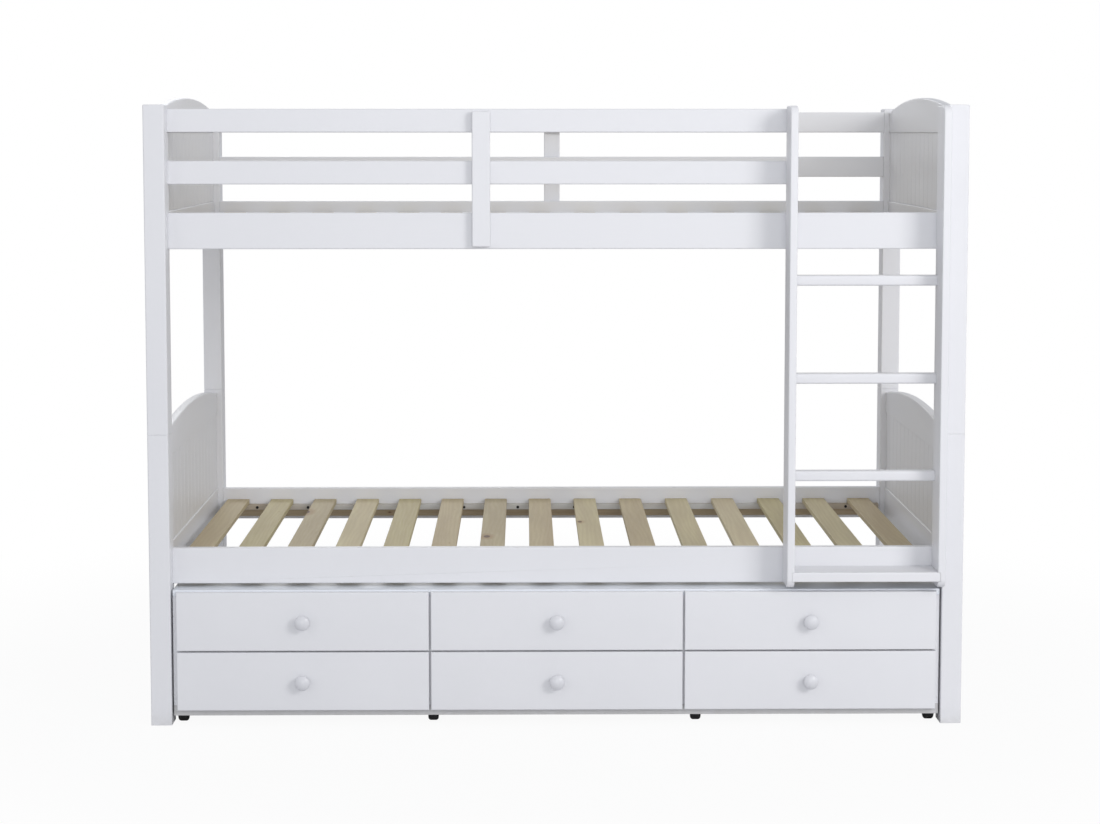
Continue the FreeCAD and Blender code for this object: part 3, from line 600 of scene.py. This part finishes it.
plyLook = {
    "layer": 0.0026, "pale": (0.72, 0.60, 0.44, 1.0), "dark": (0.50, 0.37, 0.24, 1.0),
    "voidColour": (0.12, 0.08, 0.05, 1.0), "voids": 0.7,
    "roughLow": 0.5, "roughHigh": 0.62, "bump": 0.25, "bumpDepth": 0.0002, "ease": 0.0006}
plyEdgeX = plywoodEdge("plyEdgeX", "X", plyLook)
plyEdgeY = plywoodEdge("plyEdgeY", "Y", plyLook)


def plainFinish(name, look):
    # Metal, moulded plastic or pressed board: one colour with a fine mottle and grain.
    material, tree, shader = newMaterial(name)
    place = addNode(tree, "ShaderNodeTexCoord", (-1100, 0))
    mottle = noiseNode(tree, (-800, 160), look["mottleScale"], 5.0)
    grit = noiseNode(tree, (-800, -160), look["gritScale"], 2.0)
    link(tree, place, "Object", mottle, "Vector")
    link(tree, place, "Object", grit, "Vector")
    ease = surfaceFrom(tree, shader, grit, "Fac", look)
    colour = mixColours(tree, (-300, 160), look["dark"], look["light"], mottle, "Fac")
    edged = mixColours(tree, (0, 160), (colour, "Result"), look["edgeColour"], ease, "Edge",
                       look["wear"])
    # Darker towards the floor, in patches.
    lowDarkening = placeGroup(tree, nearFloorDarkening, (100, -120), Reach=look["lowReach"])
    link(tree, place, "Object", lowDarkening, "Vector")
    darkenedLow = mixColours(tree, (400, 160), (edged, "Result"), look["lowColour"], lowDarkening, "Amount",
                       look["lowDarkening"])
    link(tree, darkenedLow, "Result", shader, "Base Color")
    roughnessFrom(tree, shader, mottle, "Fac", look)
    shader.inputs["Metallic"].default_value = look["metallic"]
    return material


zincLook = {
    "dark": (0.42, 0.42, 0.44, 1.0), "light": (0.62, 0.61, 0.58, 1.0),
    "edgeColour": (0.72, 0.71, 0.68, 1.0), "wear": 0.6, "ease": 0.0004,
    "mottleScale": 240.0, "gritScale": 2400.0, "roughLow": 0.28, "roughHigh": 0.44,
    "bump": 0.2, "bumpDepth": 0.0002, "metallic": 1.0,
    "lowColour": (0.30, 0.29, 0.27, 1.0), "lowDarkening": 0.0, "lowReach": 0.045}
zincSteel = plainFinish("zincSteel", zincLook)
screwBlack = plainFinish("screwBlack", dict(
    zincLook, dark=(0.012, 0.012, 0.013, 1.0), light=(0.03, 0.029, 0.028, 1.0),
    edgeColour=(0.09, 0.085, 0.08, 1.0), metallic=0.6, ease=0.0002))
blackSteel = plainFinish("blackSteel", dict(
    zincLook, dark=(0.018, 0.018, 0.02, 1.0), light=(0.035, 0.035, 0.036, 1.0),
    edgeColour=(0.08, 0.078, 0.075, 1.0), mottleScale=90.0, gritScale=1800.0,
    roughLow=0.4, roughHigh=0.55, bump=0.35, metallic=0.0, lowDarkening=0.06))
blackPlastic = plainFinish("blackPlastic", dict(
    zincLook, dark=(0.004, 0.004, 0.0045, 1.0), light=(0.010, 0.010, 0.0105, 1.0),
    edgeColour=(0.03, 0.03, 0.03, 1.0), mottleScale=120.0, gritScale=1500.0,
    roughLow=0.42, roughHigh=0.58, bump=0.3, metallic=0.0, lowDarkening=0.03))
backBoard = plainFinish("backBoard", dict(
    zincLook, dark=(0.58, 0.58, 0.575, 1.0), light=(0.68, 0.675, 0.66, 1.0),
    edgeColour=(0.42, 0.33, 0.22, 1.0), mottleScale=60.0, gritScale=900.0,
    roughLow=0.5, roughHigh=0.62, bump=0.5, metallic=0.0, wear=0.8))
print("stage: materials")


# The frame's own nodes get their finishes.

def dress(material, *starts):
    for name, piece in nodes.items():
        if name.startswith(starts):
            piece.data.materials.clear()
            piece.data.materials.append(material)


dress(paintUpright, "post_lower", "post_upper", "grooved_panel", "guard_post", "ladder_stile",
      "chest_sides", "chest_dividers")
dress(paintLengthwise, "side_rail", "guard_rail", "ladder_rungs", "ladder_tread", "chest_base")
dress(paintTopLit, "chest_top")
dress(paintPlinthShaded, "chest_rails")
dress(paintFront, "drawer_front")
dress(paintCrosswise, "arch_rail", "end_rails")
dress(pineAcross, "slats_")
dress(pineCleatShaded, "slat_cleats")
dress(birchLengthwise, "drawer_box")
dress(birchCrosswise, "drawer_runners")
dress(backBoard, "chest_back")
dress(zincSteel, "bed_bolts", "barrel_nuts")
dress(beechUpright, "post_pins")
dress(blackSteel, "castor_forks")
dress(blackPlastic, "castor_wheels")
print("stage: frame dressed")


# Rounded pieces and pieces of two finishes: merged copies of the nodes.

mergeLook = {"weld": 0.00002, "smoothAngle": 32}


def mergedCopy(nodeName, pieceName, body, rounded=True):
    mesh = nodes[nodeName].data.copy()
    piece = bpy.data.objects.new(pieceName, mesh)
    bpy.context.scene.collection.objects.link(piece)
    bpy.ops.object.select_all(action="DESELECT")
    piece.select_set(True)
    bpy.context.view_layer.objects.active = piece
    if mesh.has_custom_normals:
        bpy.ops.mesh.customdata_custom_splitnormals_clear()
    bpy.ops.object.mode_set(mode="EDIT")
    bpy.ops.mesh.select_all(action="SELECT")
    bpy.ops.mesh.remove_doubles(threshold=mergeLook["weld"])
    bpy.ops.mesh.normals_make_consistent(inside=False)
    bpy.ops.object.mode_set(mode="OBJECT")
    if rounded:
        bpy.ops.object.shade_smooth_by_angle(angle=math.radians(mergeLook["smoothAngle"]))
    else:
        bpy.ops.object.shade_flat()
    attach(piece, body)
    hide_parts(nodeName)
    return piece


def finishFaces(piece, materials, pick):
    piece.data.materials.clear()
    for material in materials:
        piece.data.materials.append(material)
    for face in piece.data.polygons:
        face.material_index = pick(face.center, face.normal)


for side in ("left", "right"):
    for level in ("lower", "upper"):
        mergedCopy("arch_rail_%s_%s" % (level, side), "archRail_%s_%s" % (level, side), "bed")
    mergedCopy("ladder_stile_" + side, "ladderStile_" + side, "bed")
mergedCopy("ladder_rungs", "ladderRungs", "bed")
for row in ("front", "rear"):
    mergedCopy("castor_wheels_" + row, "castorWheels_" + row, "castor_wheels_" + row)


drawerLook = {
    "frontDepth": 0.016, "faceSlack": 0.0004, "wall": 0.012, "wallSlack": 0.0005,
    "rimSlack": 0.001, "upward": 0.9}


def makeDrawer(number):
    body = "drawer_%d" % number
    boxLow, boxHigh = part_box("drawer_box_%d" % number)
    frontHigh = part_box("drawer_front_%d" % number)[1]
    knobStart = frontHigh.y - drawerLook["frontDepth"] - drawerLook["faceSlack"]
    front = mergedCopy("drawer_front_%d" % number, "drawerFront_%d" % number, body)
    finishFaces(front, (paintFront, paintKnobShaded), lambda centre, normal: int(centre.y < knobStart))
    wall = drawerLook["wall"] + drawerLook["wallSlack"]

    def pickEdge(centre, normal):
        if normal.z < drawerLook["upward"] or centre.z < boxHigh.z - drawerLook["rimSlack"]:
            return 0
        onSide = centre.x < boxLow.x + wall or centre.x > boxHigh.x - wall
        return 1 if onSide else 2

    box = mergedCopy("drawer_box_%d" % number, "drawerBox_%d" % number, body,
                     rounded=False)
    finishFaces(box, (birchLengthwise, plyEdgeX, plyEdgeY), pickEdge)


for number in range(1, 7):
    makeDrawer(number)
print("stage: rounded pieces")


# Screws.

headShape = {  # lengths are shares of the head's radius or depth, turns are in degrees
    "sides": 12, "rounding": 0.5, "rim": 0.22, "diagonal": 0.02, "cross": 0.34, "middle": 0.01,
    "sink": 0.55, "upward": 0.95, "turn": 37, "smoothAngle": 35}


def screwHead(radius, depth):
    # A pan head: a disc with its top edge rounded over, then a cross sunk into the flat that is
    # left.
    bpy.ops.object.select_all(action="DESELECT")
    bpy.ops.mesh.primitive_cylinder_add(
        vertices=headShape["sides"], radius=radius, depth=depth, location=(0.0, 0.0, depth / 2),
        rotation=(0.0, 0.0, math.radians(180 / headShape["sides"])))
    bpy.ops.object.transform_apply(location=True, rotation=True, scale=True)
    head = bpy.context.object
    mesh = head.data

    def pickTop():
        bpy.ops.object.mode_set(mode="EDIT")
        bpy.ops.mesh.select_mode(type="FACE")
        bpy.ops.mesh.select_all(action="DESELECT")
        bpy.ops.object.mode_set(mode="OBJECT")
        for face in mesh.polygons:
            face.select = face.normal.z > headShape["upward"]
        bpy.ops.object.mode_set(mode="EDIT")

    pickTop()
    bpy.ops.mesh.bevel(offset=depth * headShape["rounding"], segments=2, affect="EDGES")
    bpy.ops.object.mode_set(mode="OBJECT")
    pickTop()
    bpy.ops.mesh.inset(thickness=radius * headShape["rim"])
    bpy.ops.mesh.select_mode(type="VERT")
    bpy.ops.object.mode_set(mode="OBJECT")
    flat = [corner for corner in mesh.vertices if corner.select]
    for part in list(mesh.polygons) + list(mesh.edges):
        part.select = False
    for corner in flat:  # the four corners on the diagonals stay picked
        offDiagonal = abs(abs(corner.co.x) - abs(corner.co.y))
        corner.select = offDiagonal < radius * headShape["diagonal"]
    bpy.ops.object.mode_set(mode="EDIT")
    bpy.ops.transform.resize(value=(headShape["cross"], headShape["cross"], 1.0))
    bpy.ops.object.mode_set(mode="OBJECT")
    nearest = min(face.center.xy.length for face in mesh.polygons
                  if face.normal.z > headShape["upward"])
    bpy.ops.object.mode_set(mode="EDIT")
    bpy.ops.mesh.select_mode(type="FACE")
    bpy.ops.mesh.select_all(action="DESELECT")
    bpy.ops.object.mode_set(mode="OBJECT")
    for face in mesh.polygons:
        inMiddle = face.center.xy.length <= nearest + radius * headShape["middle"]
        face.select = inMiddle and face.normal.z > headShape["upward"]
    bpy.ops.object.mode_set(mode="EDIT")
    bpy.ops.mesh.extrude_region_move(
        TRANSFORM_OT_translate={"value": (0.0, 0.0, -depth * headShape["sink"])})
    bpy.ops.object.mode_set(mode="OBJECT")
    return head


def screwSet(name, look, places, material, body):
    # places: (point on the surface, direction that the head looks in)
    master = screwHead(look["radius"], look["depth"])
    heads = []
    for count, (place, direction) in enumerate(places):
        mesh = master.data.copy()
        spin = Matrix.Rotation(math.radians((count * headShape["turn"]) % 90), 4, "Z")
        turn = Vector((0, 0, 1)).rotation_difference(Vector(direction)).to_matrix().to_4x4()
        mesh.transform(Matrix.Translation(place) @ turn @ spin)
        head = bpy.data.objects.new(name, mesh)
        bpy.context.scene.collection.objects.link(head)
        heads.append(head)
    bpy.data.objects.remove(master)
    bpy.ops.object.select_all(action="DESELECT")
    for head in heads:
        head.select_set(True)
    bpy.context.view_layer.objects.active = heads[0]
    bpy.ops.object.join()
    whole = bpy.context.object
    whole.name = name
    whole.data.materials.append(material)
    bpy.ops.object.mode_set(mode="EDIT")
    bpy.ops.mesh.select_all(action="SELECT")
    bpy.ops.mesh.normals_make_consistent(inside=False)
    bpy.ops.object.mode_set(mode="OBJECT")
    bpy.ops.object.shade_smooth_by_angle(angle=math.radians(headShape["smoothAngle"]))
    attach(whole, body)


cleatScrews = {
    "radius": 0.0042, "depth": 0.0016, "drop": 0.008, "cleatDepth": 0.020,
    "xs": (-0.860, -0.712, -0.560, -0.408, -0.257, -0.100,
           0.065, 0.222, 0.380, 0.537, 0.698, 0.859)}


def makeCleatScrews():
    low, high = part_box("slat_cleats")
    depth = cleatScrews["cleatDepth"]
    places = [(Vector((x, y, top - cleatScrews["drop"])), (0, outward, 0))
              for top in (cleatTop, high.z)
              for y, outward in ((low.y + depth, 1), (high.y - depth, -1))
              for x in cleatScrews["xs"]]
    screwSet("cleatScrews", cleatScrews, places, screwBlack, "bed")


drawerScrews = {"radius": 0.0036, "depth": 0.0014, "inset": 0.085, "rise": 0.024, "lift": 0.006}


def makeDrawerScrews(number):
    low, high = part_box("drawer_box_%d" % number)
    y = low.y + drawerLook["wall"]
    middle = (low.z + high.z) / 2 + drawerScrews["lift"]
    places = [(Vector((x, y, middle + rise)), (0, 1, 0))
              for x in (low.x + drawerScrews["inset"], high.x - drawerScrews["inset"])
              for rise in (-drawerScrews["rise"], drawerScrews["rise"])]
    screwSet("drawerScrews_%d" % number, drawerScrews, places, zincSteel, "drawer_%d" % number)


backScrews = {"radius": 0.003, "depth": 0.001, "edge": 0.010, "across": 11, "up": 3}


def makeBackScrews():
    low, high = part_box("chest_back")
    edge, across, up = backScrews["edge"], backScrews["across"], backScrews["up"]
    places = []
    for column in range(across):
        x = low.x + edge + (high.x - low.x - 2 * edge) * column / (across - 1)
        for row in range(up):
            z = low.z + edge + (high.z - low.z - 2 * edge) * row / (up - 1)
            onRim = column in (0, across - 1) or row in (0, up - 1)
            if onRim:
                places.append((Vector((x, high.y, z)), (0, 1, 0)))
    screwSet("backScrews", backScrews, places, zincSteel, "chest")


castorScrews = {
    "radius": 0.0032, "depth": 0.0014, "reach": 0.0155, "side": 0.008, "plate": 0.002,
    "xs": (-0.938, -0.310, 0.350, 0.938)}


def makeCastorScrews():
    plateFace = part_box("castor_forks")[1].z - castorScrews["plate"]
    rows = [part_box("castor_wheels_" + row) for row in ("front", "rear")]
    places = [(Vector((x + dx, (near.y + far.y) / 2 + dy, plateFace)), (0, 0, -1))
              for near, far in rows for x in castorScrews["xs"]
              for dx in (-castorScrews["side"], castorScrews["side"])
              for dy in (-castorScrews["reach"], castorScrews["reach"])]
    screwSet("castorScrews", castorScrews, places, zincSteel, "chest")


makeCleatScrews()
for number in range(1, 7):
    makeDrawerScrews(number)
makeBackScrews()
makeCastorScrews()
print("stage: screws")


# Floor, light and camera.

studio = {
    "floorSize": 60.0, "floorPlace": (0.0, 10.0, -0.0006), "floorRough": 0.9,
    "floorColour": (0.62, 0.62, 0.63, 1.0), "shadowShare": 0.06, "shadowRadius": (1.2, 2.6),
    "worldColour": (0.95, 0.965, 1.0, 1.0), "worldStrength": 0.66,
    "lamps": (
        # name, place, aimed at, size x, size y, power, colour
        ("keyRight", (3.7, -4.5, 2.9), (0.4, 0.0, 1.5), 2.0, 2.0, 114.0, (1.0, 0.99, 0.985)),
        ("fillLeft", (-3.9, -4.3, 1.5), (0.2, 0.2, 0.9), 1.6, 1.6, 9.0, (0.97, 0.98, 1.0)),
        ("frontFar", (0.0, -13.0, 2.4), (0.0, 0.0, 1.0), 5.0, 3.0, 235.0, (0.985, 0.99, 1.0)),
        ("backSoft", (-1.4, 5.6, 3.2), (0.3, 0.3, 0.8), 3.0, 2.0, 42.0, (0.98, 0.985, 1.0)))}


def makeFloor():
    # To the camera the paper glows white and takes only a share of its real shading, fading with
    # distance. Every other ray meets plain matt paper.
    bpy.ops.object.select_all(action="DESELECT")
    bpy.ops.mesh.primitive_plane_add(size=studio["floorSize"], location=studio["floorPlace"])
    floor = bpy.context.object
    floor.name = "studioFloor"
    bpy.ops.object.transform_apply(location=True, rotation=True, scale=True)
    material, tree, shader = newMaterial("floorPaper")
    shader.inputs["Base Color"].default_value = studio["floorColour"]
    shader.inputs["Roughness"].default_value = studio["floorRough"]
    glow = addNode(tree, "ShaderNodeEmission", (1000, -300))
    path = addNode(tree, "ShaderNodeLightPath", (500, 300))
    share = mathNode(tree, "MULTIPLY", (760, 300))
    place = addNode(tree, "ShaderNodeTexCoord", (0, 500))
    reach = addNode(tree, "ShaderNodeVectorMath", (200, 500), operation="LENGTH")
    fade = rangeNode(tree, (400, 500), *studio["shadowRadius"], 1.0 - studio["shadowShare"], 1.0,
                     smooth=True)
    link(tree, place, "Object", reach, 0)
    link(tree, reach, "Value", fade, "Value")
    link(tree, fade, "Result", share, 1)
    mix = addNode(tree, "ShaderNodeMixShader", (1160, 0))
    out = next(node for node in tree.nodes if node.bl_idname == "ShaderNodeOutputMaterial")
    link(tree, path, "Is Camera Ray", share, 0)
    link(tree, share, "Value", mix, 0)
    link(tree, shader, "BSDF", mix, 1)
    link(tree, glow, "Emission", mix, 2)
    link(tree, mix, "Shader", out, "Surface")
    floor.data.materials.append(material)


def makeWorld():
    world = bpy.data.worlds.new("studioWorld")
    bpy.context.scene.world = world
    world.use_nodes = True
    tree = world.node_tree
    tree.nodes.clear()
    out = addNode(tree, "ShaderNodeOutputWorld", (600, 0))
    mix = addNode(tree, "ShaderNodeMixShader", (400, 0))
    soft = addNode(tree, "ShaderNodeBackground", (100, 100))
    shown = addNode(tree, "ShaderNodeBackground", (100, -100))
    path = addNode(tree, "ShaderNodeLightPath", (-200, 200))
    either = mathNode(tree, "MAXIMUM", (100, 300))
    soft.inputs["Color"].default_value = studio["worldColour"]
    soft.inputs["Strength"].default_value = studio["worldStrength"]
    shown.inputs["Color"].default_value = (1.0, 1.0, 1.0, 1.0)
    shown.inputs["Strength"].default_value = 1.0
    link(tree, path, "Is Camera Ray", either, 0)
    link(tree, path, "Is Transmission Ray", either, 1)
    link(tree, either, "Value", mix, 0)
    link(tree, soft, "Background", mix, 1)
    link(tree, shown, "Background", mix, 2)
    link(tree, mix, "Shader", out, "Surface")


def makeLamps():
    for name, place, aim, sizeX, sizeY, power, colour in studio["lamps"]:
        data = bpy.data.lights.new(name, "AREA")
        data.shape = "RECTANGLE"
        data.size = sizeX
        data.size_y = sizeY
        data.energy = power
        data.color = colour
        lamp = bpy.data.objects.new(name, data)
        bpy.context.scene.collection.objects.link(lamp)
        lamp.location = place
        lamp.rotation_euler = (Vector(aim) - Vector(place)).to_track_quat("-Z", "Y").to_euler()


view = {
    "place": (-0.0804, -6.1214, 1.4742), "pitch": 4.781, "yaw": 0.647, "lens": 74.68,
    "sensor": 36.0, "shiftY": -0.08}


def makeCamera():
    data = bpy.data.cameras.new("studioCamera")
    data.lens = view["lens"]
    data.sensor_width = view["sensor"]
    data.shift_y = view["shiftY"]
    camera = bpy.data.objects.new("studioCamera", data)
    bpy.context.scene.collection.objects.link(camera)
    camera.location = view["place"]
    camera.rotation_euler = (math.radians(90 - view["pitch"]), 0.0, -math.radians(view["yaw"]))
    bpy.context.scene.camera = camera
    bpy.context.scene.view_settings.view_transform = "Standard"


makeFloor()
makeWorld()
makeLamps()
makeCamera()
print("stage: studio")
